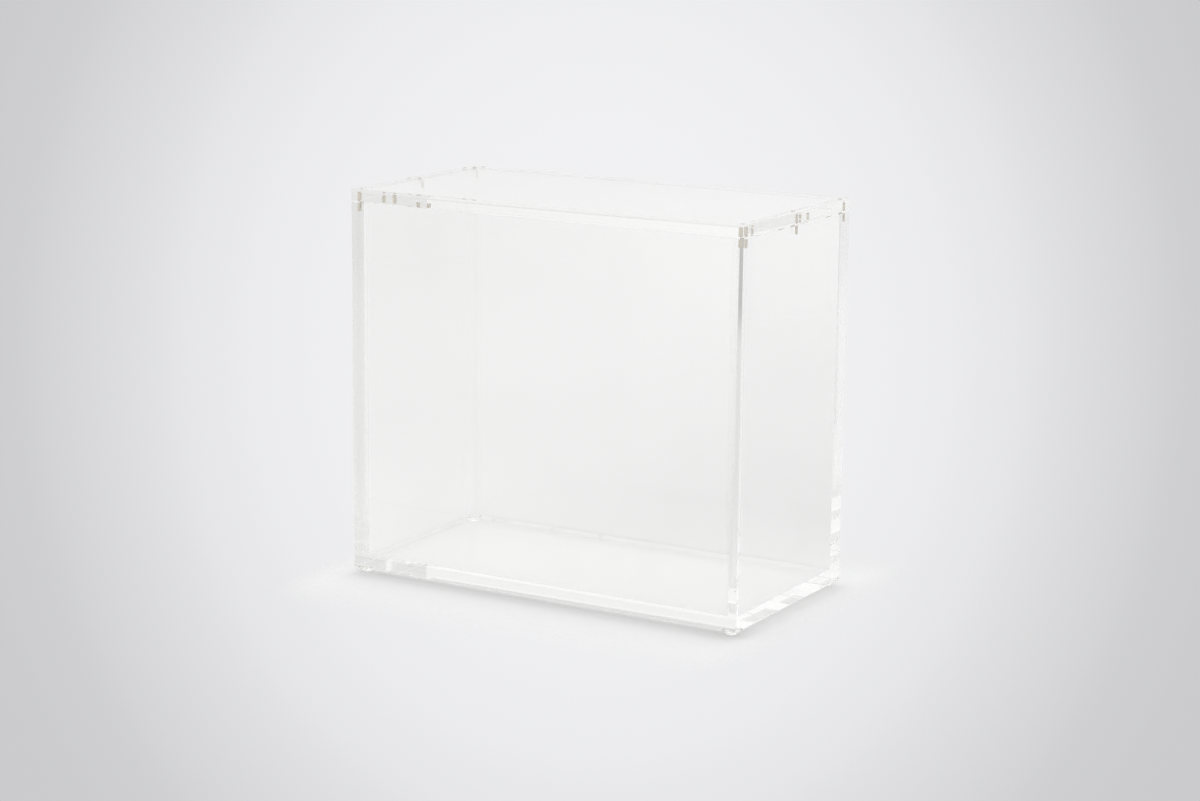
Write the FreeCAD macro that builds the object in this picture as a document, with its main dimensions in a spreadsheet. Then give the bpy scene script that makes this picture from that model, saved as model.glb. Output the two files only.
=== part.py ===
# Clear acrylic display case: a solvent-bonded box of cut sheet, a loose flush lid held down by six pairs of
# rod magnets, and four clear domed feet. Millimetres, +Z up, front at -Y, origin midway between the feet.
import FreeCAD, Part
import math
import os

import Sketcher

doc = FreeCAD.newDocument("display_case")

# Driving dimensions. Such a case is chosen by its inside, so the walls are built out from there.
SIZES = {
    "inside_width": 193,
    "inside_depth": 92,
    "inside_height": 169,
    "wall_thickness": 6,
    "base_thickness": 6,
    "lid_thickness": 6,
    "edge_break": 0.3,
    "lid_seat_gap": 0.1,
    "magnet_diameter": 2,
    "magnet_length": 4,
    "magnet_rim_break": 0.2,
    "magnet_recess": 0.4,
    "magnet_fit": 0.05,
    "magnet_end_inset": 4,
    "foot_diameter": 8,
    "foot_height": 2.4,
    "foot_rim_height": 0.5,
    "foot_tip_diameter": 2.4,
    "foot_edge_margin": 0.6,
}

sheet = doc.addObject("Spreadsheet::Sheet", "Sizes")
for row, (size_name, size) in enumerate(SIZES.items(), start=1):
    sheet.set(f"A{row}", size_name)
    sheet.set(f"B{row}", str(size))
    sheet.setAlias(f"B{row}", size_name)
doc.recompute()

# Sizes and places that follow from the driving dimensions, as expressions on the sheet.
OUTSIDE_WIDTH = "(Sizes.inside_width + 2 * Sizes.wall_thickness)"
OUTSIDE_DEPTH = "(Sizes.inside_depth + 2 * Sizes.wall_thickness)"
BASE_TOP = "(Sizes.foot_height + Sizes.base_thickness)"
WALL_TOP = f"({BASE_TOP} + Sizes.inside_height)"
LID_BOTTOM = f"({WALL_TOP} + Sizes.lid_seat_gap)"
SEAT_DIAMETER = "(Sizes.magnet_diameter + 2 * Sizes.magnet_fit)"
SEAT_DEPTH = "(Sizes.magnet_length + Sizes.magnet_recess)"
HALF_WALL = "(Sizes.wall_thickness / 2)"
MAGNET_ACROSS = f"(Sizes.inside_width / 2 + {HALF_WALL})"
MAGNET_ALONG = f"({OUTSIDE_DEPTH} / 2 - Sizes.magnet_end_inset)"
FOOT_INSET = "(Sizes.foot_edge_margin + Sizes.foot_diameter / 2)"
FOOT_ACROSS = f"({OUTSIDE_WIDTH} / 2 - {FOOT_INSET})"
FOOT_ALONG = f"({OUTSIDE_DEPTH} / 2 - {FOOT_INSET})"

# Which way each named place lies from the middle of the case.
SIDES = {"left": -1, "right": 1}
ENDS = {"front": -1, "back": 1}
MAGNET_ROWS = {"front": -1, "middle": 0, "back": 1}

UPRIGHT = FreeCAD.Vector(0, 0, 1)
HALF_TURN = 180
FULL_TURN = 360

# An edge this near the middle of a block, as a share of its diagonal, is taken to be centred.
CENTRED_SHARE = 1e-6

# A sketch numbers its two axes downwards from -1, and the points of a line, arc or circle upwards from 1.
UP_AXIS, ACROSS_AXIS = range(-2, 0)
START, END, MIDDLE = range(1, 4)


def new_body(label):
    """An empty body named for its piece."""
    body = doc.addObject("PartDesign::Body", label)
    body.Label = label
    return body


def new_sketch(body, plane_role, name):
    """A sketch on one of the body's own origin planes."""
    sketch = body.newObject("Sketcher::SketchObject", f"{body.Name}_{name}")
    plane = next(item for item in body.Origin.OriginFeatures if item.Role == plane_role)
    sketch.AttachmentSupport = [(plane, "")]
    sketch.MapMode = "FlatFace"
    return sketch


def bind(sketch, constraint, name, expression):
    """Adds a dimension to a sketch, names it and ties its value to the sheet."""
    sketch.renameConstraint(sketch.addConstraint(constraint), name)
    sketch.setExpression(f"Constraints.{name}", expression)


def draw_rectangle(sketch, width, height, standing):
    """A rectangle centred on the up axis, either standing on the across axis or centred on that too."""
    corners = [FreeCAD.Vector(*corner) for corner in ((-1, -1), (1, -1), (1, 1), (-1, 1))]
    ends = zip(corners, corners[1:] + corners[:1])
    bottom, right, top, left = [sketch.addGeometry(Part.LineSegment(start, end)) for start, end in ends]
    for line, following in ((bottom, right), (right, top), (top, left), (left, bottom)):
        sketch.addConstraint(Sketcher.Constraint("Coincident", line, END, following, START))
    sketch.addConstraint(Sketcher.Constraint("Symmetric", bottom, START, bottom, END, UP_AXIS))
    sketch.addConstraint(Sketcher.Constraint("Horizontal", top))
    sketch.addConstraint(Sketcher.Constraint("Vertical", left))
    if standing:
        sketch.addConstraint(Sketcher.Constraint("Vertical", right))
        sketch.addConstraint(Sketcher.Constraint("PointOnObject", bottom, START, ACROSS_AXIS))
    else:
        sketch.addConstraint(Sketcher.Constraint("Symmetric", right, START, right, END, ACROSS_AXIS))
    bind(sketch, Sketcher.Constraint("DistanceX", bottom, START, bottom, END, 1), "width", width)
    bind(sketch, Sketcher.Constraint("DistanceY", right, START, right, END, 1), "height", height)


def grow(body, sketch, length):
    """Pads a sketch into a solid of the given length."""
    solid = body.newObject("PartDesign::Pad", f"{body.Name}_pad")
    solid.Profile = sketch
    solid.setExpression("Length", length)
    doc.recompute()
    return solid


def sides_of(edge, block):
    """The sides of a rectangular block that one of its edges lies in, such as {'+x', '-z'}."""
    offset = edge.CenterOfMass - block.BoundBox.Center
    centred = block.BoundBox.DiagonalLength * CENTRED_SHARE
    return {("-" if value < 0 else "+") + axis for axis, value in zip("xyz", offset) if abs(value) > centred}


def break_edges(body, plate, bonded_sides):
    """Polishes a narrow flat along a plate's open edges. The edges of a bonded side stay sharp."""
    edges = enumerate(plate.Shape.Edges, start=1)
    names = [f"Edge{number}" for number, edge in edges if not sides_of(edge, plate.Shape) & bonded_sides]
    flats = body.newObject("PartDesign::Chamfer", f"{body.Name}_edge_break")
    flats.Base = (plate, names)
    flats.setExpression("Size", "Sizes.edge_break")
    doc.recompute()


def bore_magnet_seats(body, level, upwards, rows_across):
    """Flat-bottomed blind seats bored into a level face: a front, middle and back one on each line across."""
    sketch = new_sketch(body, "XY_Plane", "seats")
    sketch.setExpression("AttachmentOffset.Base.z", level)
    places = [(across, row_side) for across in rows_across for row_side in MAGNET_ROWS.values()]
    for circle, (across, row_side) in enumerate(places):
        sketch.addGeometry(Part.Circle(FreeCAD.Vector(circle, row_side), UPRIGHT, 1))
        bind(sketch, Sketcher.Constraint("Diameter", circle, 1), f"bore_{circle}", SEAT_DIAMETER)
        offset = Sketcher.Constraint("DistanceX", ACROSS_AXIS, START, circle, MIDDLE, 1)
        bind(sketch, offset, f"across_{circle}", across)
        if row_side:
            offset = Sketcher.Constraint("DistanceY", ACROSS_AXIS, START, circle, MIDDLE, row_side)
            bind(sketch, offset, f"along_{circle}", f"{row_side} * {MAGNET_ALONG}")
        else:
            sketch.addConstraint(Sketcher.Constraint("PointOnObject", circle, MIDDLE, ACROSS_AXIS))
    whole = body.Shape.Volume
    seats = body.newObject("PartDesign::Pocket", f"{body.Name}_seat_bores")
    seats.Profile = sketch
    seats.Reversed = upwards
    seats.setExpression("Length", SEAT_DEPTH)
    doc.recompute()
    if seats.Shape.Volume >= whole:
        raise RuntimeError(f"{body.Label}: the magnet seats cut nothing")


def place(body, across, along, up, turn=0):
    """Sets a body in the case by expressions, turned about the upright."""
    body.Placement = FreeCAD.Placement(FreeCAD.Vector(), FreeCAD.Rotation(UPRIGHT, turn))
    for axis, expression in zip("xyz", (across, along, up)):
        body.setExpression(f"Placement.Base.{axis}", expression)


def make_base():
    """The bottom sheet. All four walls stand on it."""
    body = new_body("base_panel")
    outline = new_sketch(body, "XY_Plane", "outline")
    draw_rectangle(outline, OUTSIDE_WIDTH, OUTSIDE_DEPTH, standing=False)
    break_edges(body, grow(body, outline, "Sizes.base_thickness"), bonded_sides={"+z"})
    place(body, "0", "0", "Sizes.foot_height")
    return body


def make_side_wall(side_name, side):
    """A full-depth side wall, its outer face at +X until it is turned, bored for magnets along its top."""
    body = new_body(f"{side_name}_wall")
    outline = new_sketch(body, "YZ_Plane", "outline")
    draw_rectangle(outline, OUTSIDE_DEPTH, "Sizes.inside_height", standing=True)
    break_edges(body, grow(body, outline, "Sizes.wall_thickness"), bonded_sides={"-x", "-z"})
    bore_magnet_seats(body, "Sizes.inside_height", False, [HALF_WALL])
    place(body, f"{side} * Sizes.inside_width / 2", "0", BASE_TOP, 0 if side > 0 else HALF_TURN)
    return body


def make_end_panel(end_name, end):
    """The front or back sheet, held between the side walls, its outer face at -Y until it is turned."""
    body = new_body(f"{end_name}_panel")
    outline = new_sketch(body, "XZ_Plane", "outline")
    draw_rectangle(outline, "Sizes.inside_width", "Sizes.inside_height", standing=True)
    break_edges(body, grow(body, outline, "Sizes.wall_thickness"), bonded_sides={"-x", "+x", "+y", "-z"})
    place(body, "0", f"{end} * Sizes.inside_depth / 2", BASE_TOP, 0 if end < 0 else HALF_TURN)
    return body


def make_lid():
    """The loose lid, flush with the walls all round, bored from below over the magnets in the walls."""
    body = new_body("lid_panel")
    outline = new_sketch(body, "XY_Plane", "outline")
    draw_rectangle(outline, OUTSIDE_WIDTH, OUTSIDE_DEPTH, standing=False)
    break_edges(body, grow(body, outline, "Sizes.lid_thickness"), bonded_sides=set())
    bore_magnet_seats(body, "0", True, [f"{side} * {MAGNET_ACROSS}" for side in SIDES.values()])
    place(body, "0", "0", LID_BOTTOM)
    return body


def make_magnet(label, side, row_side, bottom):
    """A plated rod magnet with broken rims, standing on the given level."""
    body = new_body(label)
    section = new_sketch(body, "XY_Plane", "section")
    section.addGeometry(Part.Circle(FreeCAD.Vector(), UPRIGHT, 1))
    section.addConstraint(Sketcher.Constraint("Coincident", 0, MIDDLE, ACROSS_AXIS, START))
    bind(section, Sketcher.Constraint("Diameter", 0, 1), "thickness", "Sizes.magnet_diameter")
    rod = grow(body, section, "Sizes.magnet_length")
    rims = [f"Edge{number}" for number, edge in enumerate(rod.Shape.Edges, start=1) if edge.isClosed()]
    flats = body.newObject("PartDesign::Chamfer", f"{label}_rim_break")
    flats.Base = (rod, rims)
    flats.setExpression("Size", "Sizes.magnet_rim_break")
    place(body, f"{side} * {MAGNET_ACROSS}", f"{row_side} * {MAGNET_ALONG}", bottom)
    return body


def draw_foot_profile(profile):
    """Half of a foot's section: a flat tip, a dome centred on the upright, a short rim and a flat top."""
    radius = sheet.foot_diameter / 2
    tip_radius = sheet.foot_tip_diameter / 2
    dome_height = sheet.foot_height - sheet.foot_rim_height
    dome_centre = (radius**2 + dome_height**2 - tip_radius**2) / (2 * dome_height)
    dome_radius = math.hypot(tip_radius, dome_centre)
    middle = FreeCAD.Vector()
    tip_end = FreeCAD.Vector(tip_radius, 0)
    shoulder = FreeCAD.Vector(radius, dome_height)
    edge = FreeCAD.Vector(radius, sheet.foot_height)
    crown = FreeCAD.Vector(0, sheet.foot_height)
    circle = Part.Circle(FreeCAD.Vector(0, dome_centre), UPRIGHT, dome_radius)
    sweep = (math.atan2(-dome_centre, tip_radius), math.atan2(dome_height - dome_centre, radius))
    tip = profile.addGeometry(Part.LineSegment(middle, tip_end))
    dome = profile.addGeometry(Part.ArcOfCircle(circle, *sweep))
    rim = profile.addGeometry(Part.LineSegment(shoulder, edge))
    top = profile.addGeometry(Part.LineSegment(edge, crown))
    axis = profile.addGeometry(Part.LineSegment(crown, middle))
    profile.addConstraint(Sketcher.Constraint("Coincident", tip, START, ACROSS_AXIS, START))
    profile.addConstraint(Sketcher.Constraint("PointOnObject", dome, MIDDLE, UP_AXIS))
    for line, following in ((tip, dome), (dome, rim), (rim, top), (top, axis), (axis, tip)):
        profile.addConstraint(Sketcher.Constraint("Coincident", line, END, following, START))
    for line, direction in ((tip, "Horizontal"), (top, "Horizontal"), (rim, "Vertical"), (axis, "Vertical")):
        profile.addConstraint(Sketcher.Constraint(direction, line))
    measures = {
        "tip_radius": (("DistanceX", tip, START, tip, END, tip_radius), "Sizes.foot_tip_diameter / 2"),
        "top_radius": (("DistanceX", top, END, top, START, radius), "Sizes.foot_diameter / 2"),
        "rim_height": (("DistanceY", rim, START, rim, END, sheet.foot_rim_height), "Sizes.foot_rim_height"),
        "foot_height": (("DistanceY", axis, END, axis, START, sheet.foot_height), "Sizes.foot_height"),
    }
    for name, (measure, expression) in measures.items():
        bind(profile, Sketcher.Constraint(*measure), name, expression)


def make_foot(label, side, end):
    """A domed stick-on foot, turned about the upright."""
    body = new_body(label)
    profile = new_sketch(body, "XZ_Plane", "profile")
    draw_foot_profile(profile)
    turned = body.newObject("PartDesign::Revolution", f"{label}_turned")
    turned.Profile = profile
    turned.ReferenceAxis = (profile, ["V_Axis"])
    turned.Angle = FULL_TURN
    place(body, f"{side} * {FOOT_ACROSS}", f"{end} * {FOOT_ALONG}", "0")
    return body


def make_pieces():
    """Every piece of the case: its sheets, then each side's magnets and feet."""
    pieces = [make_base()]
    pieces += [make_side_wall(name, side) for name, side in SIDES.items()]
    pieces += [make_end_panel(name, end) for name, end in ENDS.items()]
    pieces.append(make_lid())
    magnet_levels = {"wall": f"{WALL_TOP} - {SEAT_DEPTH}", "lid": f"{LID_BOTTOM} + Sizes.magnet_recess"}
    for side_name, side in SIDES.items():
        for row_name, row_side in MAGNET_ROWS.items():
            for holder, level in magnet_levels.items():
                label = f"{holder}_magnet_{row_name}_{side_name}"
                pieces.append(make_magnet(label, side, row_side, level))
        for end_name, end in ENDS.items():
            pieces.append(make_foot(f"foot_{end_name}_{side_name}", side, end))
    return pieces


def check(pieces):
    """Stops if anything in the document failed, or if a piece isn't a single sound solid."""
    for item in doc.Objects:
        if {"Invalid", "Error"} & set(item.State):
            raise RuntimeError(f"{item.Label}: {item.State}")
    for piece in pieces:
        if piece.Shape.isNull() or not piece.Shape.isValid() or len(piece.Shape.Solids) != 1:
            raise RuntimeError(f"{piece.Label}: not one sound solid")


case_pieces = make_pieces()
doc.recompute()
check(case_pieces)

os.makedirs("parts", exist_ok=True)
for case_piece in case_pieces:
    case_piece.Shape.exportStep(f"parts/{case_piece.Label}.step")
    print(f"{case_piece.Label}: {case_piece.Shape.Volume:.1f} mm3")
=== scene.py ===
# %% [markdown]
# # A clear acrylic display case
# The object is a free-standing box of 6 mm clear acrylic sheet: a base, four walls bonded to it, and a
# loose lid that twelve small rod magnets hold in place. It stands on four clear domed feet. The sheets come
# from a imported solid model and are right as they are, so this lesson adds what the eye needs: finishes,
# finely turned small pieces, a paper floor, soft light and a camera.

# %% Load the solids
import math

import bpy
from mathutils import Matrix, Vector


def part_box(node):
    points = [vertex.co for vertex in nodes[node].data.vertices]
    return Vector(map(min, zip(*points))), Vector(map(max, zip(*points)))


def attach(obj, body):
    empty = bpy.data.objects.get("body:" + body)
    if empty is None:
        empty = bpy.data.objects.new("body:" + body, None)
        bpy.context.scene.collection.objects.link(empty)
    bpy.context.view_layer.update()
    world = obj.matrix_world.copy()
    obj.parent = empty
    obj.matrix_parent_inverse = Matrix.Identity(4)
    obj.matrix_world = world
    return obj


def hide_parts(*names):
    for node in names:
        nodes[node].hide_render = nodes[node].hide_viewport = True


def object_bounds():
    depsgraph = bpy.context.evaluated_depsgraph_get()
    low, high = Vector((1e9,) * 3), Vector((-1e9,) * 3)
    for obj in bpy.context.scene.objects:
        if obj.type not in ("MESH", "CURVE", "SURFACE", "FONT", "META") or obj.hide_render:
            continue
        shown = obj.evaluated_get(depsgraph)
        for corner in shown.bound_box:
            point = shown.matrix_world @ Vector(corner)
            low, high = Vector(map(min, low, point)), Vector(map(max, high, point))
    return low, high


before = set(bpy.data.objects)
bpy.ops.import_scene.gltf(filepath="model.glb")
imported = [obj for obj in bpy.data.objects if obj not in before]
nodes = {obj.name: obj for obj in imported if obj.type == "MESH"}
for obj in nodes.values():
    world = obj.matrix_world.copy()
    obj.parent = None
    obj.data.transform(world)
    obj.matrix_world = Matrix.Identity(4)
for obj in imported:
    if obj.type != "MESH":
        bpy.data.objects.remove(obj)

cad_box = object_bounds()
scene = bpy.context.scene
MM = 0.001
cad_corners = [tuple(round(value / MM, 1) for value in corner) for corner in cad_box]
print("solids:", len(nodes), "box in mm:", cad_corners)

# %% [markdown]
# ## Short ways to write nodes
# Every finish below is a network of nodes. Placing a node by hand takes several lines, so one helper adds a
# node, sets its options and fills its inputs with plain values or with another node's output. Others write
# one step of arithmetic, a smooth change of range and a blend of two colours, and the last turns a screen
# tone into the light level that Blender works in, because tones read off a screen aren't proportional to
# light.


# %% Node helpers
def add(tree, kind, inputs=None, **options):
    """Add a node of this kind. An input takes a plain value or another node's output."""
    made = tree.nodes.new(kind)
    for name, value in options.items():
        setattr(made, name, value)
    for key, value in (inputs or {}).items():
        if isinstance(value, bpy.types.NodeSocket):
            tree.links.new(value, made.inputs[key])
        else:
            made.inputs[key].default_value = value
    return made


def calc(tree, operation, *values):
    """One step of arithmetic on plain values or outputs."""
    return add(tree, "ShaderNodeMath", dict(enumerate(values)), operation=operation).outputs[0]


def vector_calc(tree, operation, *values):
    """One step of arithmetic on directions or places; the result may be a length or another direction."""
    made = add(tree, "ShaderNodeVectorMath", dict(enumerate(values)), operation=operation)
    return made.outputs["Value" if operation in ("LENGTH", "DOT_PRODUCT") else "Vector"]


def turn(tree, vector, axis, angle):
    """Turn a direction or place about one axis."""
    turned_by = {"Vector": vector, "Angle": angle}
    return add(tree, "ShaderNodeVectorRotate", turned_by, rotation_type=f"{axis}_AXIS").outputs[0]


def ease(tree, value, start, end, first=0.0, last=1.0):
    """Turn a value that runs from start to end into one that runs smoothly from first to last."""
    ranges = {"Value": value, "From Min": start, "From Max": end, "To Min": first, "To Max": last}
    return add(tree, "ShaderNodeMapRange", ranges, interpolation_type="SMOOTHSTEP").outputs[0]


def window(tree, value, start, full, fading, end):
    """One between full and fading, and nothing before start and after end."""
    return calc(tree, "MULTIPLY", ease(tree, value, start, full), ease(tree, value, fading, end, 1.0, 0.0))


def grey(level):
    """A colour that is equally red, green and blue."""
    return (level, level, level, 1.0)


def mix_colour(tree, share, first, last):
    """Blend two colours, each plain or another node's output."""
    return add(tree, "ShaderNodeMix", {0: share, 6: first, 7: last}, data_type="RGBA").outputs[2]


def light_level(tone):
    """The light level of a screen tone from 0 to 255."""
    share = tone / 255
    return share / 12.92 if share <= 0.04045 else ((share + 0.055) / 1.055) ** 2.4


print("a screen tone of 238 is a light level of", round(light_level(238), 3))

# %% [markdown]
# ## The camera
# The picture to match was taken from the front right, a little above the lid, with a long lens: its upright
# edges lean in only slightly. The place and turns below come from fitting the case's corners to that
# picture. Building the camera's matrix from plain turns keeps each angle readable.

# %% Camera
CAMERA_PLACE = Vector((0.64605, -1.09994, 0.35546))
CAMERA_YAW = math.radians(30.367)
CAMERA_PITCH = math.radians(11.929)
CAMERA_ROLL = math.radians(0.602)
SENSOR_WIDTH = 36.0
FOCAL_LENGTH = 83.75

lens = bpy.data.cameras.new("camera")
lens.sensor_width = SENSOR_WIDTH
lens.lens = FOCAL_LENGTH
camera = bpy.data.objects.new("camera", lens)
camera.matrix_world = (
    Matrix.Translation(CAMERA_PLACE)
    @ Matrix.Rotation(CAMERA_YAW, 4, "Z")
    @ Matrix.Rotation(math.pi / 2 - CAMERA_PITCH, 4, "X")
    @ Matrix.Rotation(CAMERA_ROLL, 4, "Z")
)
scene.collection.objects.link(camera)
scene.camera = camera
print("camera", round(CAMERA_PLACE.length, 3), "m from the middle of the feet")

# %% [markdown]
# ## The room around the case
# Clear sheet has almost no look of its own: its faces show what is behind them, and its edges work as light
# guides that show the room far to one side. So the room is the first part of the finish, and the world
# below is a function of direction alone. The camera sees a pale glow that falls off towards the corners of
# the picture, as a lit backdrop and a lens give it. All other rays see an even pale room, lighter on the
# left, under a bright sky with a dimmer ceiling. A small dark card to the right is hidden from the camera,
# and the front right corner of the case picks it up as a dark line.

# %% World
GLOW_PITCH = math.radians(10.8)
GLOW_WIDTH = 0.26
GLOW_SQUASH = (1.0, 1.0, 0.85)
GLOW_TONES = (
    (0.0, 241), (0.25, 240.4), (0.40, 238), (0.50, 234),
    (0.60, 226.3), (0.76, 211.4), (0.86, 204.6), (0.95, 203),
)
GLOW_ENDS = (1.2 * GLOW_WIDTH, 2.2 * GLOW_WIDTH)
COOLER = 1.5
BRIGHT_SIDE = (-0.87, -0.5, 0.0)
FLOOR_TONES = (230, 246)
SKY_SIDES = (-1.0, -0.4)
SKY_LEVELS = (0.88, 1.04)
SKY_HEIGHTS = (0.04, 0.26)
CEILING_HEIGHTS = (0.35, 0.6)
CEILING_LEVEL = 0.72
CARD_LEVEL = 0.52
CARD_ACROSS = [math.radians(angle) for angle in (57.5, 57.9, 60.5, 62.5)]
CARD_HEIGHTS = [math.sin(math.radians(angle)) for angle in (-11.4, -10.5, -7.0, -4.0)]

world = bpy.data.worlds.new("studio")
scene.world = world
world.use_nodes = True
tree = world.node_tree
tree.nodes.clear()
ray = add(tree, "ShaderNodeTexCoord").outputs["Generated"]
facing = turn(tree, ray, "Z", -CAMERA_YAW)
from_glow = vector_calc(tree, "SUBTRACT", turn(tree, facing, "X", GLOW_PITCH), (0.0, 1.0, 0.0))
from_glow = vector_calc(tree, "LENGTH", vector_calc(tree, "MULTIPLY", from_glow, GLOW_SQUASH))
glow = add(tree, "ShaderNodeValToRGB", {"Fac": calc(tree, "DIVIDE", from_glow, GLOW_WIDTH)})
stops = glow.color_ramp
stops.interpolation = "CARDINAL"
stops.elements.remove(stops.elements[1])
for place, tone in GLOW_TONES:
    stop = stops.elements.new(place) if place else stops.elements[0]
    stop.color = (light_level(tone), light_level(tone), light_level(tone + COOLER), 1.0)

by_camera = add(tree, "ShaderNodeLightPath").outputs["Is Camera Ray"]
in_glow = calc(tree, "MULTIPLY", by_camera, ease(tree, from_glow, *GLOW_ENDS, 1.0, 0.0))
side = vector_calc(tree, "DOT_PRODUCT", facing, BRIGHT_SIDE)
low_side = ease(tree, side, -1.0, 1.0, *map(light_level, FLOOR_TONES))
low = mix_colour(tree, in_glow, low_side, glow.outputs["Color"])
rightward, forward, height = add(tree, "ShaderNodeSeparateXYZ", {0: facing}).outputs
high_side = ease(tree, side, *SKY_SIDES, *SKY_LEVELS)
high = mix_colour(tree, ease(tree, height, *CEILING_HEIGHTS), high_side, grey(CEILING_LEVEL))
room = mix_colour(tree, ease(tree, height, *SKY_HEIGHTS), low, high)
angle_across = calc(tree, "ARCTAN2", rightward, forward)
on_card = window(tree, angle_across, *CARD_ACROSS)
on_card = calc(tree, "MULTIPLY", on_card, window(tree, height, *CARD_HEIGHTS))
on_card = calc(tree, "MULTIPLY", on_card, calc(tree, "SUBTRACT", 1.0, by_camera))
room = mix_colour(tree, on_card, room, grey(CARD_LEVEL))
light = add(tree, "ShaderNodeBackground", {"Color": room, "Strength": 1.0})
add(tree, "ShaderNodeOutputWorld", {"Surface": light.outputs[0]})
print("room: glow", GLOW_TONES[0][1], "to", GLOW_TONES[-1][1], "and sky levels", SKY_LEVELS)

# %% [markdown]
# ## The paper floor
# Small objects are often photographed on a roll of white paper laid over a table. The paper here is one flat
# sheet in line with the camera. Its white carries painted light and shade, and the clear walls show that: a
# painted shadow just behind the case, painted light further back, a slight painted lean from side to side,
# and painted shade towards both sides. Close to the case the camera sees the paper and its soft shadow. A few
# centimetres out the paper lets the camera through to the glow.

# %% Paper sheet
PAPER_LEFT, PAPER_RIGHT = -1.3, 0.80
PAPER_NEAR, PAPER_FAR = -1.3, 1.9

across = Vector((math.cos(CAMERA_YAW), math.sin(CAMERA_YAW), 0.0))
along = Vector((-math.sin(CAMERA_YAW), math.cos(CAMERA_YAW), 0.0))
near_edge = [across * side_place + along * PAPER_NEAR for side_place in (PAPER_LEFT, PAPER_RIGHT)]
far_edge = [across * side_place + along * PAPER_FAR for side_place in (PAPER_RIGHT, PAPER_LEFT)]
paper_mesh = bpy.data.meshes.new("paper_floor")
paper_mesh.from_pydata(near_edge + far_edge, [], [(0, 1, 2, 3)])
paper = bpy.data.objects.new("paper_floor", paper_mesh)
scene.collection.objects.link(paper)
print("paper", round(PAPER_RIGHT - PAPER_LEFT, 2), "m wide,", round(PAPER_FAR - PAPER_NEAR, 2), "m long")

# %% Paper finish
PAPER_WHITE = 0.89
# Painted shadow: the white is darker just behind the case.
PAINTED_SHADOW, PAINTED_SHADOW_SPAN = -0.036, (0.0, 0.12)
# Painted light: the white is lighter further back.
PAINTED_LIGHT, PAINTED_LIGHT_SPAN = 0.056, (0.05, 1.1)
# Painted lean: close behind the case the left is lighter and the right darker; further back it is the other
# way.
PAINTED_NEAR_LEAN, PAINTED_NEAR_LEAN_SPAN, PAINTED_NEAR_LEAN_ACROSS = 0.055, (0.0, 0.06, 0.12, 0.40), (-0.2, 0.2)
PAINTED_FAR_LEAN, PAINTED_FAR_LEAN_SPAN, PAINTED_FAR_LEAN_ACROSS = 0.035, (0.5, 0.95), (-0.185, 0.215)
PAINTED_LEAN_GAP = 0.01
# Painted shade: the white is darker towards the far left and towards the right.
PAINTED_LEFT_SHADE, PAINTED_LEFT_SPAN = 0.92, (-0.85, -0.5)
PAINTED_RIGHT_SHADE, PAINTED_RIGHT_SPAN = 0.90, (0.1, 0.78)
RIGHT_ENDS = (0.62, 0.78)
CLEAR_SHAPE = (2.4, 0.85, 1.0)
CLEAR_SPAN = (0.006, 0.052)
GRAIN_SCALE = 900.0
GRAIN_SPAN = (0.3, 0.7)
GRAIN_LEVELS = (0.985, 1.0)


def new_finish(name):
    """An empty material and its tree."""
    finish = bpy.data.materials.new(name)
    finish.use_nodes = True
    finish.node_tree.nodes.clear()
    return finish, finish.node_tree


paper_finish, tree = new_finish("white_paper")
where = add(tree, "ShaderNodeTexCoord").outputs["Object"]
to_right = vector_calc(tree, "DOT_PRODUCT", where, across)
behind = vector_calc(tree, "DOT_PRODUCT", where, along)
base_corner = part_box("base_panel")[1]
past_case = vector_calc(tree, "ABSOLUTE", where)
past_case = vector_calc(tree, "SUBTRACT", past_case, (base_corner.x, base_corner.y, 0.0))
past_case = vector_calc(tree, "MAXIMUM", past_case, (0.0, 0.0, 0.0))
outward = vector_calc(tree, "LENGTH", vector_calc(tree, "MULTIPLY", past_case, CLEAR_SHAPE))

# The white below carries painted light and shade on top of the paper's own grain.
white = calc(tree, "ADD", PAPER_WHITE, ease(tree, behind, *PAINTED_SHADOW_SPAN, 0.0, PAINTED_SHADOW))
white = calc(tree, "ADD", white, ease(tree, behind, *PAINTED_LIGHT_SPAN, 0.0, PAINTED_LIGHT))
painted_near_lean = ease(tree, to_right, *PAINTED_NEAR_LEAN_ACROSS, PAINTED_NEAR_LEAN, -PAINTED_NEAR_LEAN)
painted_near_lean = calc(tree, "MULTIPLY", painted_near_lean, window(tree, behind, *PAINTED_NEAR_LEAN_SPAN))
painted_near_lean = calc(tree, "MULTIPLY", painted_near_lean, ease(tree, outward, 0.0, PAINTED_LEAN_GAP))
painted_far_lean = ease(tree, to_right, *PAINTED_FAR_LEAN_ACROSS, -PAINTED_FAR_LEAN, PAINTED_FAR_LEAN)
painted_far_lean = calc(tree, "MULTIPLY", painted_far_lean, ease(tree, behind, *PAINTED_FAR_LEAN_SPAN))
white = calc(tree, "ADD", white, calc(tree, "ADD", painted_near_lean, painted_far_lean))
white = calc(tree, "MULTIPLY", white, ease(tree, to_right, *PAINTED_LEFT_SPAN, PAINTED_LEFT_SHADE, 1.0))
white = calc(tree, "MULTIPLY", white, ease(tree, to_right, *PAINTED_RIGHT_SPAN, 1.0, PAINTED_RIGHT_SHADE))
fibres = add(tree, "ShaderNodeTexNoise", {"Vector": where, "Scale": GRAIN_SCALE, "Detail": 3.0}).outputs[0]
white = calc(tree, "MULTIPLY", white, ease(tree, fibres, *GRAIN_SPAN, *GRAIN_LEVELS))

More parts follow.
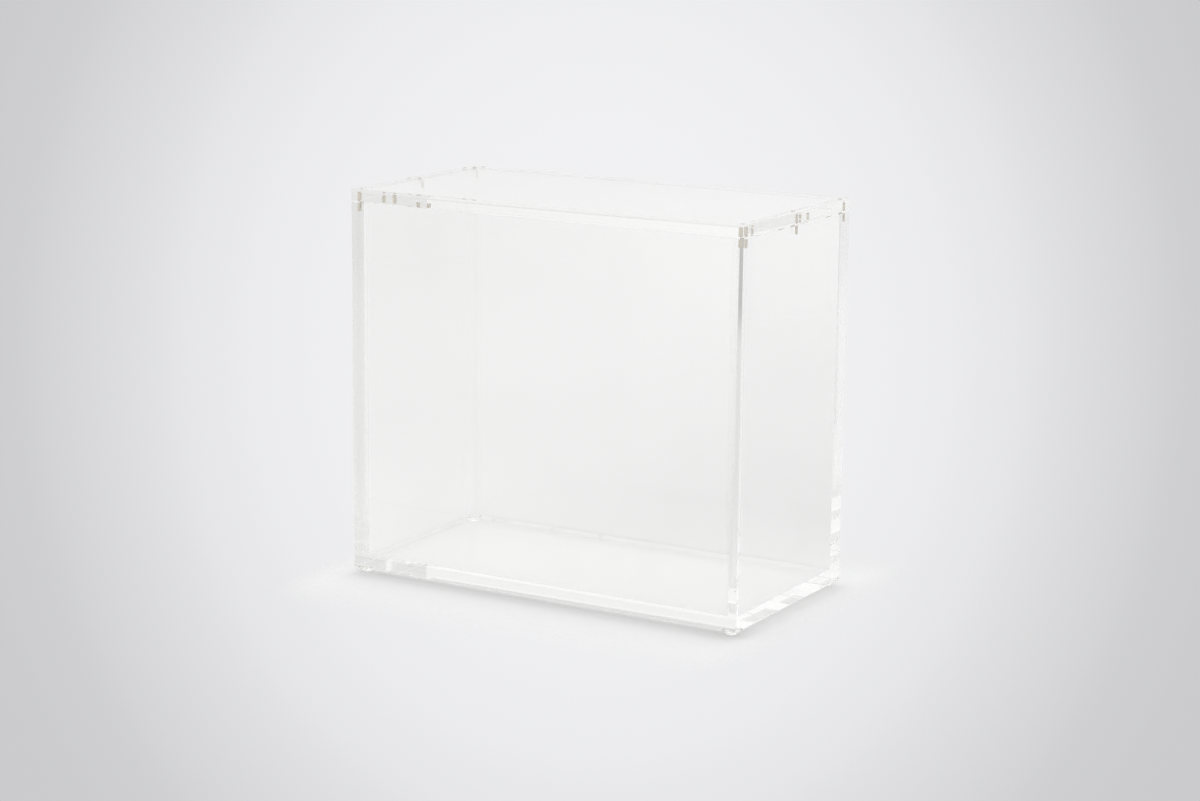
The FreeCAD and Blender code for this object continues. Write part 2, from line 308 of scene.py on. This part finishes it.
by_camera = add(tree, "ShaderNodeLightPath").outputs["Is Camera Ray"]
cleared = calc(tree, "MULTIPLY", by_camera, ease(tree, outward, *CLEAR_SPAN))
cleared = calc(tree, "MAXIMUM", cleared, ease(tree, to_right, *RIGHT_ENDS))
matt = add(tree, "ShaderNodeBsdfDiffuse", {"Color": white})
clear = add(tree, "ShaderNodeBsdfTransparent")
shown = add(tree, "ShaderNodeMixShader", {0: cleared, 1: matt.outputs[0], 2: clear.outputs[0]})
add(tree, "ShaderNodeOutputMaterial", {"Surface": shown.outputs[0]})
paper_mesh.materials.append(paper_finish)
print("finish", paper_finish.name, "reflects a share of", PAPER_WHITE)

# %% [markdown]
# ## The light
# One broad overhead light, a little behind the case, adds to the even light of the room. A sun lamp with a
# wide spread acts like a large light far away. Because it is broad, the shadow on the paper stays soft and
# short. Its power is low, so that a white surface renders about as white as it is written.

# %% Overhead light
LIGHT_HEIGHT = math.radians(78)
LIGHT_SPREAD = math.radians(50)
LIGHT_STRENGTH = 0.84

backlight_lamp = bpy.data.lights.new("backlight", "SUN")
backlight_lamp.angle = LIGHT_SPREAD
backlight_lamp.energy = LIGHT_STRENGTH
backlight = bpy.data.objects.new("backlight", backlight_lamp)
backlight.matrix_world = (
    Matrix.Rotation(CAMERA_YAW, 4, "Z")
    @ Matrix.Rotation(LIGHT_HEIGHT - math.pi / 2, 4, "X")
)
scene.collection.objects.link(backlight)
print("light from behind,", round(math.degrees(LIGHT_HEIGHT)), "degrees up")

# %% [markdown]
# ## Marks that every surface has
# A case that has been handled carries faint smudges and hair-thin scratches, too small to model. They belong
# on the sheets, the plated magnets and the feet alike, so they are one shader group with its own inputs.
# Smudges are soft patches of noise. Hairlines are the thin band where stretched noise passes its middle
# value, which gives long, broken lines without any image.


# %% Shader groups
def shader_group(name, inputs, outputs):
    """A new shader group with named inputs, each with its plain value, and named outputs."""
    group = bpy.data.node_groups.new(name, "ShaderNodeTree")
    for label, (kind, value) in inputs.items():
        group.interface.new_socket(label, in_out="INPUT", socket_type=kind).default_value = value
    for label, kind in outputs.items():
        group.interface.new_socket(label, in_out="OUTPUT", socket_type=kind)
    return group, group.nodes.new("NodeGroupInput").outputs


def use_group(tree, group, inputs=None):
    """Place a shader group in a material, with this material's own values."""
    placed = tree.nodes.new("ShaderNodeGroup")
    placed.node_tree = group
    for label, value in (inputs or {}).items():
        placed.inputs[label].default_value = value
    return placed.outputs


# %% Handling marks
HAIRLINE_STRETCH = (1.0, 1.0, 0.04)
HAIRLINE_TILT = 0.5
HAIRLINE_WIDTH = 0.01
SMUDGE_SPAN = (0.45, 0.75)

handling_marks, given = shader_group(
    "handling_marks",
    {"Smudge Scale": ("NodeSocketFloat", 30.0), "Hairline Scale": ("NodeSocketFloat", 400.0)},
    {"Smudge": "NodeSocketFloat", "Hairline": "NodeSocketFloat"},
)
where = add(handling_marks, "ShaderNodeTexCoord").outputs["Object"]
patches = add(handling_marks, "ShaderNodeTexNoise", {
    "Vector": where, "Scale": given["Smudge Scale"], "Detail": 4.0}).outputs[0]
leaning = turn(handling_marks, where, "Y", HAIRLINE_TILT)
drawn = vector_calc(handling_marks, "MULTIPLY", leaning, HAIRLINE_STRETCH)
threads = add(handling_marks, "ShaderNodeTexNoise", {
    "Vector": drawn, "Scale": given["Hairline Scale"], "Detail": 1.0}).outputs[0]
off_middle = calc(handling_marks, "ABSOLUTE", calc(handling_marks, "SUBTRACT", threads, 0.5))
add(handling_marks, "NodeGroupOutput", {
    "Smudge": ease(handling_marks, patches, *SMUDGE_SPAN),
    "Hairline": ease(handling_marks, off_middle, 0.0, HAIRLINE_WIDTH, 1.0, 0.0),
})
print("group", handling_marks.name, "has", [item.name for item in handling_marks.interface.items_tree])

# %% [markdown]
# ## Joints that let light straight through
# The sheets are bonded with a solvent that melts both faces into one, and the feet stick on with a clear
# film, so at a joint there is no air and light passes unbent. In the model the two faces only touch, and
# each would bend and mirror light. Cutting the sheets up to remove those faces would change the solids.
# Instead a mask finds them by where they lie, and the finish becomes fully see-through there. A second mask
# marks the bond under the front wall, which gets a share of shade further on.

# %% Bonded joints
BASE_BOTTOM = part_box("base_panel")[0].z
BASE_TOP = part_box("base_panel")[1].z
CAVITY_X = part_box("front_panel")[1].x
CAVITY_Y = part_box("back_panel")[0].y
FOOT_LOW, FOOT_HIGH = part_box("foot_back_right")
FOOT_RADIUS = (FOOT_HIGH.x - FOOT_LOW.x) / 2
FOOT_X = FOOT_LOW.x + FOOT_RADIUS
FOOT_Y = FOOT_LOW.y + FOOT_RADIUS
FILM = 0.05 * MM

joint_masks = {"Open": "NodeSocketFloat", "Seam": "NodeSocketFloat"}
bonded_joint = shader_group("bonded_joint", {}, joint_masks)[0]
where = add(bonded_joint, "ShaderNodeTexCoord").outputs["Object"]
folded = vector_calc(bonded_joint, "ABSOLUTE", where)
x, y, z = add(bonded_joint, "ShaderNodeSeparateXYZ", {0: folded}).outputs
past_x = calc(bonded_joint, "GREATER_THAN", x, CAVITY_X - FILM)
past_y = calc(bonded_joint, "GREATER_THAN", y, CAVITY_Y - FILM)
on_base = calc(bonded_joint, "COMPARE", z, BASE_TOP, FILM)
under_walls = calc(bonded_joint, "MULTIPLY", on_base, calc(bonded_joint, "MAXIMUM", past_x, past_y))
wall_ends = calc(bonded_joint, "MULTIPLY", calc(bonded_joint, "COMPARE", x, CAVITY_X, FILM), past_y)
from_foot = vector_calc(bonded_joint, "SUBTRACT", folded, (FOOT_X, FOOT_Y, BASE_BOTTOM))
over_foot = calc(bonded_joint, "LESS_THAN", vector_calc(bonded_joint, "LENGTH", from_foot), FOOT_RADIUS)
on_feet = calc(bonded_joint, "MULTIPLY", over_foot, calc(bonded_joint, "COMPARE", z, BASE_BOTTOM, FILM))
bonded = calc(bonded_joint, "MAXIMUM", calc(bonded_joint, "MAXIMUM", under_walls, wall_ends), on_feet)
depth = add(bonded_joint, "ShaderNodeSeparateXYZ", {0: where}).outputs["Y"]
in_front = calc(bonded_joint, "LESS_THAN", depth, FILM - CAVITY_Y)
add(bonded_joint, "NodeGroupOutput", {
    "Open": calc(bonded_joint, "SUBTRACT", 1.0, bonded),
    "Seam": calc(bonded_joint, "MULTIPLY", under_walls, in_front),
})
print("joints at z", round(BASE_TOP / MM, 2), "mm, at x", round(CAVITY_X / MM, 2), "mm and over each foot")

# %% [markdown]
# ## Clear sheet
# Cast acrylic bends light less than window glass, with an index of 1.49, and has next to no colour. Light
# that reaches the paper through it would need many chance paths to be traced honestly, and would look like
# noise. So rays on their way to a lamp, and rays that leave the paper, pass straight through, less a share,
# and only rays that the eye follows are bent. The share is tiny on the faces. Under the front wall it is
# larger, which draws the shadow where the case meets the paper.

# %% Clear finishes
ACRYLIC_INDEX = 1.49
PASSED = (0.995, 0.995, 0.994, 1.0)
SEAM_LOST = 0.24


def let_light_through(tree, shader, lost, seam=0.0):
    """Let rays for lamps and from matt surfaces pass, less this share. The eye still sees the shader."""
    path = add(tree, "ShaderNodeLightPath").outputs
    dimmed = calc(tree, "MULTIPLY_ADD", seam, SEAM_LOST - lost, lost)
    passing = mix_colour(tree, dimmed, PASSED, grey(0.0))
    passing = add(tree, "ShaderNodeBsdfTransparent", {"Color": passing}).outputs[0]
    for kind in ("Is Shadow Ray", "Is Diffuse Ray"):
        shader = add(tree, "ShaderNodeMixShader", {0: path[kind], 1: shader.outputs[0], 2: passing})
    add(tree, "ShaderNodeOutputMaterial", {"Surface": shader.outputs[0]})


sheet_face, tree = new_finish("clear_sheet_face")
marks = use_group(tree, handling_marks, {"Smudge Scale": 24.0, "Hairline Scale": 900.0})
is_open, seam = use_group(tree, bonded_joint)
rubbed = calc(tree, "MAXIMUM", marks["Smudge"], marks["Hairline"])
glass = add(tree, "ShaderNodeBsdfPrincipled", {
    "Base Color": mix_colour(tree, marks["Smudge"], (0.981, 0.981, 0.979, 1.0), (0.973, 0.973, 0.971, 1.0)),
    "Roughness": ease(tree, rubbed, 0.0, 1.0, 0.0, 0.025),
    "IOR": ACRYLIC_INDEX,
    "Transmission Weight": 1.0,
    "Alpha": is_open,
})
let_light_through(tree, glass, 0.0, seam)
print("finish", sheet_face.name, "index", ACRYLIC_INDEX)

# %% [markdown]
# ## Polished edges
# A sheet is sawn to size, then its edges are scraped and flame-polished until they are clear. Faint lines
# stay along each edge. They follow the sheet's length and change only across its thickness, so noise along
# one line draws them, and the group takes the direction across the sheet as an input. Each kind of edge has
# its own tint, and its own share of the light for the paper that it stops. The base has three kinds: the
# front edge throws the shadow that the eye sees, the right edge less of it, and the edges at the back and
# left, towards the light, let it all in. The base's three tints are painted shade and light: its front edge
# is tinted darkest and its right edge lightest.

# %% Edge finishes
LINE_SCALE = 900.0
LINE_SPAN = (0.3, 0.7)
LINE_DARKER = 0.03
WARMER = 0.008

polish_lines, given = shader_group(
    "polish_lines", {"Across": ("NodeSocketVector", (1.0, 0.0, 0.0))}, {"Line": "NodeSocketFloat"}
)
where = add(polish_lines, "ShaderNodeTexCoord").outputs["Object"]
place_across = vector_calc(polish_lines, "DOT_PRODUCT", where, given["Across"])
line_noise = {"W": place_across, "Scale": LINE_SCALE, "Detail": 2.0}
lines = add(polish_lines, "ShaderNodeTexNoise", line_noise, noise_dimensions="1D").outputs[0]
add(polish_lines, "NodeGroupOutput", {"Line": ease(polish_lines, lines, *LINE_SPAN)})


def polished_edge(name, axis, tint, lost):
    """The finish of polished edges: the axis of the sheet's thickness, its tint and the light it stops."""
    finish, tree = new_finish(name)
    direction = tuple(axis == other for other in "xyz")
    marks = use_group(tree, handling_marks, {"Smudge Scale": 60.0, "Hairline Scale": 900.0})
    line = use_group(tree, polish_lines, {"Across": direction})["Line"]
    is_open, seam = use_group(tree, bonded_joint)
    tints = [(level, level, level - WARMER, 1.0) for level in (tint, tint - LINE_DARKER)]
    glass = add(tree, "ShaderNodeBsdfPrincipled", {
        "Base Color": mix_colour(tree, line, *tints),
        "Roughness": ease(tree, calc(tree, "MAXIMUM", line, marks["Smudge"]), 0.0, 1.0, 0.0, 0.03),
        "IOR": ACRYLIC_INDEX,
        "Transmission Weight": 1.0,
        "Alpha": is_open,
    })
    let_light_through(tree, glass, lost, seam)
    return finish


EDGES = {
    "lid": polished_edge("lid_edge", "z", 0.99, 0.25),
    # Painted shade and light: the base's front edge is tinted darker, and its right edge lighter, than its
    # other edges.
    "base front": polished_edge("base_front_edge", "z", 0.84, 0.95),
    "base right": polished_edge("base_right_edge", "z", 0.98, 0.6),
    "base lit": polished_edge("base_lit_edge", "z", 0.90, 0.0),
    "side wall": polished_edge("side_wall_edge", "x", 0.945, 0.25),
    "long wall": polished_edge("long_wall_edge", "y", 0.945, 0.25),
}
print("edge finishes:", [finish.name for finish in EDGES.values()])

# %% [markdown]
# ## Scraped corners and drilled seats
# Every free corner is broken with a scraper and each magnet's seat is drilled, and neither is polished. Their
# fine tool marks scatter a little light. The finish is a thin matt veil that is mostly see-through, so
# corners show as thin pale lines, and the magnets keep their colour behind the sides of their seats.

# %% Scraped finish
VEIL_SHARES = (0.10, 0.18)
SCRAPED_LOST = 0.2

scraped, tree = new_finish("scraped_corner")
marks = use_group(tree, handling_marks, {"Smudge Scale": 120.0, "Hairline Scale": 3000.0})
is_open = use_group(tree, bonded_joint)["Open"]
veil_share = ease(tree, marks["Smudge"], 0.0, 1.0, *VEIL_SHARES)
veil = add(tree, "ShaderNodeBsdfPrincipled", {
    "Base Color": mix_colour(tree, marks["Smudge"], (0.98, 0.98, 0.97, 1.0), (0.95, 0.95, 0.94, 1.0)),
    "Roughness": ease(tree, marks["Hairline"], 0.0, 1.0, 0.45, 0.60),
    "Specular IOR Level": 0.0,
    "Alpha": calc(tree, "MULTIPLY", is_open, veil_share),
})
let_light_through(tree, veil, SCRAPED_LOST)
print("finish", scraped.name, "covers shares of", VEIL_SHARES)

# %% [markdown]
# ## Dressing the sheets
# Each sheet is one solid. Its two large faces look along its thickness, other faces that look square to an
# axis are its edges, and slanted faces are broken corners or the sides of a magnet's seat. So the direction
# in which a face looks, and whether it lies in a seat, tell which finish it gets, and no face has to be
# picked by hand.

# %% Sheets
SHEETS = {
    "base_panel": ("z", ("base front", "base right", "base lit")),
    "lid_panel": ("z", ("lid", "lid", "lid")),
    "left_wall": ("x", ("side wall", "side wall", "side wall")),
    "right_wall": ("x", ("side wall", "side wall", "side wall")),
    "front_panel": ("y", ("long wall", "long wall", "long wall")),
    "back_panel": ("y", ("long wall", "long wall", "long wall")),
}
SQUARE_ON = 0.99
SEAT_ROOM = 0.12 * MM
FACE, CORNER, FRONT_EDGE, RIGHT_EDGE, LIT_EDGE = range(5)
magnet_boxes = [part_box(name) for name in nodes if "magnet" in name]


def in_seat(place):
    """True if a place lies in the seat of a magnet."""
    return any(
        low.x - SEAT_ROOM < place.x < high.x + SEAT_ROOM and low.y - SEAT_ROOM < place.y < high.y + SEAT_ROOM
        for low, high in magnet_boxes
    )


def finish_of(polygon, axis):
    """Which finish a sheet's triangle gets, from the way it looks and where it lies."""
    looks = polygon.normal
    if max(abs(part) for part in looks) < SQUARE_ON or in_seat(polygon.center):
        return CORNER
    if abs(looks["xyz".index(axis)]) > SQUARE_ON:
        return FACE
    if looks.y < -SQUARE_ON:
        return FRONT_EDGE
    return RIGHT_EDGE if looks.x > SQUARE_ON else LIT_EDGE


for name, (axis, kinds_of_edge) in SHEETS.items():
    mesh = nodes[name].data
    mesh.materials.clear()
    for finish in (sheet_face, scraped, *[EDGES[kind] for kind in kinds_of_edge]):
        mesh.materials.append(finish)
    for polygon in mesh.polygons:
        polygon.material_index = finish_of(polygon, axis)
    used = [polygon.material_index for polygon in mesh.polygons]
    print(name, "has", used.count(FACE), "face and", used.count(CORNER), "corner triangles of", len(used))

# %% [markdown]
# ## Nickel plate
# Small rod magnets are plated with nickel, a warm silver that is brushed dull by tumbling. The plate is
# metal, so its colour goes in the base colour with the metallic value at one. A fine mottle changes the
# colour and the roughness a little, and the shared marks give it small scratches.

# %% Nickel finish
SCRATCH_DEPTH = 0.02 * MM

nickel_plate, tree = new_finish("nickel_plate")
marks = use_group(tree, handling_marks, {"Smudge Scale": 900.0, "Hairline Scale": 3000.0})
scratches = {"Height": marks["Hairline"], "Strength": 0.08, "Distance": SCRATCH_DEPTH}
metal = add(tree, "ShaderNodeBsdfPrincipled", {
    "Base Color": mix_colour(tree, marks["Smudge"], (0.80, 0.745, 0.65, 1.0), (0.70, 0.64, 0.54, 1.0)),
    "Metallic": 1.0,
    "Roughness": ease(tree, marks["Smudge"], 0.0, 1.0, 0.30, 0.45),
    "Normal": add(tree, "ShaderNodeBump", scratches).outputs[0],
})
add(tree, "ShaderNodeOutputMaterial", {"Surface": metal.outputs[0]})
print("finish", nickel_plate.name, "with scratches", SCRATCH_DEPTH / MM, "mm deep")

# %% [markdown]
# ## Clear polyurethane
# Stick-on feet are cast from a soft clear resin that yellows slightly. Its skin is dull, which blurs what is
# seen through it, so the feet look like pale cream. The finish is therefore nearly all clear and very rough,
# and it lets light through to the paper in the same way as the sheets do.

# %% Foot finish
RESIN_INDEX = 1.48
RESIN_CLEAR_SHARE = 0.95
DIMPLE_DEPTH = 0.05 * MM

clear_polyurethane, tree = new_finish("clear_polyurethane")
marks = use_group(tree, handling_marks, {"Smudge Scale": 400.0, "Hairline Scale": 2000.0})
is_open = use_group(tree, bonded_joint)["Open"]
dimples = {"Height": marks["Smudge"], "Strength": 0.05, "Distance": DIMPLE_DEPTH}
resin = add(tree, "ShaderNodeBsdfPrincipled", {
    "Base Color": mix_colour(tree, marks["Smudge"], (0.99, 0.98, 0.945, 1.0), (0.965, 0.95, 0.90, 1.0)),
    "Roughness": ease(tree, marks["Smudge"], 0.0, 1.0, 0.65, 0.75),
    "IOR": RESIN_INDEX,
    "Transmission Weight": RESIN_CLEAR_SHARE,
    "Alpha": is_open,
    "Normal": add(tree, "ShaderNodeBump", dimples).outputs[0],
})
let_light_through(tree, resin, 0.0)
print("finish", clear_polyurethane.name, "index", RESIN_INDEX)

# %% [markdown]
# ## Small turned pieces
# The magnets and the feet are turned shapes, each repeated in several places. Geometry Nodes suit that: one
# tree draws half of the section as points that follow a rule, sweeps a circle along it with a width for each
# point, and sets a copy on every place. The places are the vertices of a bare mesh, read from the solids, so
# the copies sit exactly where the solids do.

# %% Turning helpers
TURNED_SIDES = 48
CREASE = math.radians(40)


def shape_tree(name, sizes):
    """A Geometry Nodes tree that takes places and named sizes, and its inputs by name."""
    tree = bpy.data.node_groups.new(name, "GeometryNodeTree")
    tree.interface.new_socket("Places", in_out="INPUT", socket_type="NodeSocketGeometry")
    for label in sizes:
        tree.interface.new_socket(label, in_out="INPUT", socket_type="NodeSocketFloat")
    tree.interface.new_socket("Pieces", in_out="OUTPUT", socket_type="NodeSocketGeometry")
    return tree, tree.nodes.new("NodeGroupInput").outputs


def turn_and_place(tree, places, point_count, level, width, finish):
    """Sweep circles of these widths along points at these levels, and set a copy on every place."""
    points = add(tree, "GeometryNodeMeshLine", {"Count": point_count}).outputs[0]
    position = add(tree, "ShaderNodeCombineXYZ", {"Z": level}).outputs[0]
    points = add(tree, "GeometryNodeSetPosition", {"Geometry": points, "Position": position}).outputs[0]
    spine = add(tree, "GeometryNodeMeshToCurve", {"Mesh": points}).outputs[0]
    round_section = {"Resolution": TURNED_SIDES, "Radius": 1.0}
    circle = add(tree, "GeometryNodeCurvePrimitiveCircle", round_section).outputs[0]
    swept = add(tree, "GeometryNodeCurveToMesh", {
        "Curve": spine, "Profile Curve": circle, "Scale": width, "Fill Caps": True}).outputs[0]
    copies = add(tree, "GeometryNodeInstanceOnPoints", {"Points": places, "Instance": swept}).outputs[0]
    joined = add(tree, "GeometryNodeRealizeInstances", {"Geometry": copies}).outputs[0]
    coated = add(tree, "GeometryNodeSetMaterial", {"Geometry": joined, "Material": finish}).outputs[0]
    add(tree, "NodeGroupOutput", {"Pieces": coated})


def make_copies(name, tree, stands_for, sizes, body):
    """Run the tree on the places of these nodes, and make its result a plain piece that stands for them."""
    boxes = [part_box(node) for node in stands_for]
    bottoms = [((low.x + high.x) / 2, (low.y + high.y) / 2, low.z) for low, high in boxes]
    places = bpy.data.meshes.new(name)
    places.from_pydata(bottoms, [], [])
    piece = bpy.data.objects.new(name, places)
    scene.collection.objects.link(piece)
    modifier = piece.modifiers.new("turned", "NODES")
    modifier.node_group = tree
    for item in tree.interface.items_tree:
        if item.name in sizes:
            modifier[item.identifier] = sizes[item.name]
    evaluated = piece.evaluated_get(bpy.context.evaluated_depsgraph_get())
    shaped = bpy.data.meshes.new_from_object(evaluated)
    piece.modifiers.remove(modifier)
    piece.data = shaped
    shaped.shade_smooth()
    shaped.set_sharp_from_angle(angle=CREASE)
    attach(piece, body)
    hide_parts(*stands_for)
    print(name, "stands for", len(stands_for), "solids with", len(shaped.polygons), "faces")


# %% [markdown]
# ## Rod magnets
# Each magnet is a short rod with softly rounded rims, 2 mm thick. The rule for its section counts points
# from both ends towards the middle: each count is one step along a quarter circle, so the same few nodes
# round both rims. Six rods sit in the tops of the side walls and six hang over them in the lid, so there is
# one piece for each of the two bodies.

# %% Magnets
RIM_STEPS = 5
ROD_RIM = 0.2 * MM

rod_tree, given = shape_tree("rod_magnets", ("Radius", "Length", "Rim"))
number = add(rod_tree, "GeometryNodeInputIndex").outputs[0]
last_number = 2 * RIM_STEPS + 1
from_end = calc(rod_tree, "MINIMUM", number, calc(rod_tree, "SUBTRACT", last_number, number))
angle = calc(rod_tree, "MULTIPLY", from_end, math.pi / 2 / RIM_STEPS)
rise_share = calc(rod_tree, "SUBTRACT", 1.0, calc(rod_tree, "COSINE", angle))
rise = calc(rod_tree, "MULTIPLY", given["Rim"], rise_share)
inset_share = calc(rod_tree, "SUBTRACT", 1.0, calc(rod_tree, "SINE", angle))
inset = calc(rod_tree, "MULTIPLY", given["Rim"], inset_share)
upper = calc(rod_tree, "GREATER_THAN", number, RIM_STEPS + 0.5)
from_top = calc(rod_tree, "SUBTRACT", given["Length"], calc(rod_tree, "MULTIPLY", rise, 2.0))
level = calc(rod_tree, "MULTIPLY_ADD", upper, from_top, rise)
width = calc(rod_tree, "SUBTRACT", given["Radius"], inset)
turn_and_place(rod_tree, given["Places"], last_number + 1, level, width, nickel_plate)

rod_low, rod_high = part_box("wall_magnet_front_left")
rod_sizes = {"Radius": (rod_high.x - rod_low.x) / 2, "Length": rod_high.z - rod_low.z, "Rim": ROD_RIM}
for holder, body in (("wall", "case"), ("lid", "lid")):
    rods = [name for name in nodes if name.startswith(f"{holder}_magnet")]
    make_copies(f"{holder}_magnets", rod_tree, rods, rod_sizes, body)

# %% [markdown]
# ## Domed feet
# A foot has a small flat tip, a round dome and a short upright rim under a flat top. The dome is part of a
# circle whose middle lies on the foot's upright axis, and its radius follows from the foot's height and the
# two widths. The rule walks along that arc from the tip to the shoulder, and one last point draws the rim.

# %% Feet
DOME_STEPS = 14
FOOT_TIP_RADIUS = 1.2 * MM
FOOT_RIM = 0.5 * MM

foot_height = FOOT_HIGH.z - FOOT_LOW.z
dome_height = foot_height - FOOT_RIM
dome_middle = (FOOT_RADIUS**2 + dome_height**2 - FOOT_TIP_RADIUS**2) / (2 * dome_height)
dome_radius = math.hypot(FOOT_TIP_RADIUS, dome_middle)
tip_angle = math.asin(FOOT_TIP_RADIUS / dome_radius)
shoulder_angle = math.acos((dome_middle - dome_height) / dome_radius)
foot_sizes = {
    "Dome Radius": dome_radius, "Dome Middle": dome_middle, "Tip Angle": tip_angle,
    "Shoulder Angle": shoulder_angle, "Rim": FOOT_RIM,
}

foot_tree, given = shape_tree("domed_feet", foot_sizes)
number = add(foot_tree, "GeometryNodeInputIndex").outputs[0]
walked = calc(foot_tree, "DIVIDE", calc(foot_tree, "MINIMUM", number, DOME_STEPS), DOME_STEPS)
swing = calc(foot_tree, "SUBTRACT", given["Shoulder Angle"], given["Tip Angle"])
angle = calc(foot_tree, "MULTIPLY_ADD", walked, swing, given["Tip Angle"])
width = calc(foot_tree, "MULTIPLY", given["Dome Radius"], calc(foot_tree, "SINE", angle))
below_middle = calc(foot_tree, "MULTIPLY", given["Dome Radius"], calc(foot_tree, "COSINE", angle))
on_rim = calc(foot_tree, "GREATER_THAN", number, DOME_STEPS + 0.5)
level = calc(foot_tree, "SUBTRACT", given["Dome Middle"], below_middle)
level = calc(foot_tree, "MULTIPLY_ADD", on_rim, given["Rim"], level)
turn_and_place(foot_tree, given["Places"], DOME_STEPS + 2, level, width, clear_polyurethane)

feet = [name for name in nodes if name.startswith("foot")]
make_copies("feet", foot_tree, feet, foot_sizes, "case")

# %% [markdown]
# ## Long paths of light
# Inside a sheet, light can bounce between the faces dozens of times before it leaves by an edge. Blender
# stops such paths early by default and would show black edges, so the limits go up. The colours are shown as
# they are, with the Standard view.

# %% Paths and view
GUIDED_BOUNCES = 48
SPARE_BOUNCES = 16

scene.cycles.max_bounces = GUIDED_BOUNCES + SPARE_BOUNCES
scene.cycles.glossy_bounces = GUIDED_BOUNCES
scene.cycles.transmission_bounces = GUIDED_BOUNCES
scene.cycles.transparent_max_bounces = GUIDED_BOUNCES + SPARE_BOUNCES
scene.view_settings.view_transform = "Standard"
print("up to", scene.cycles.max_bounces, "bounces")
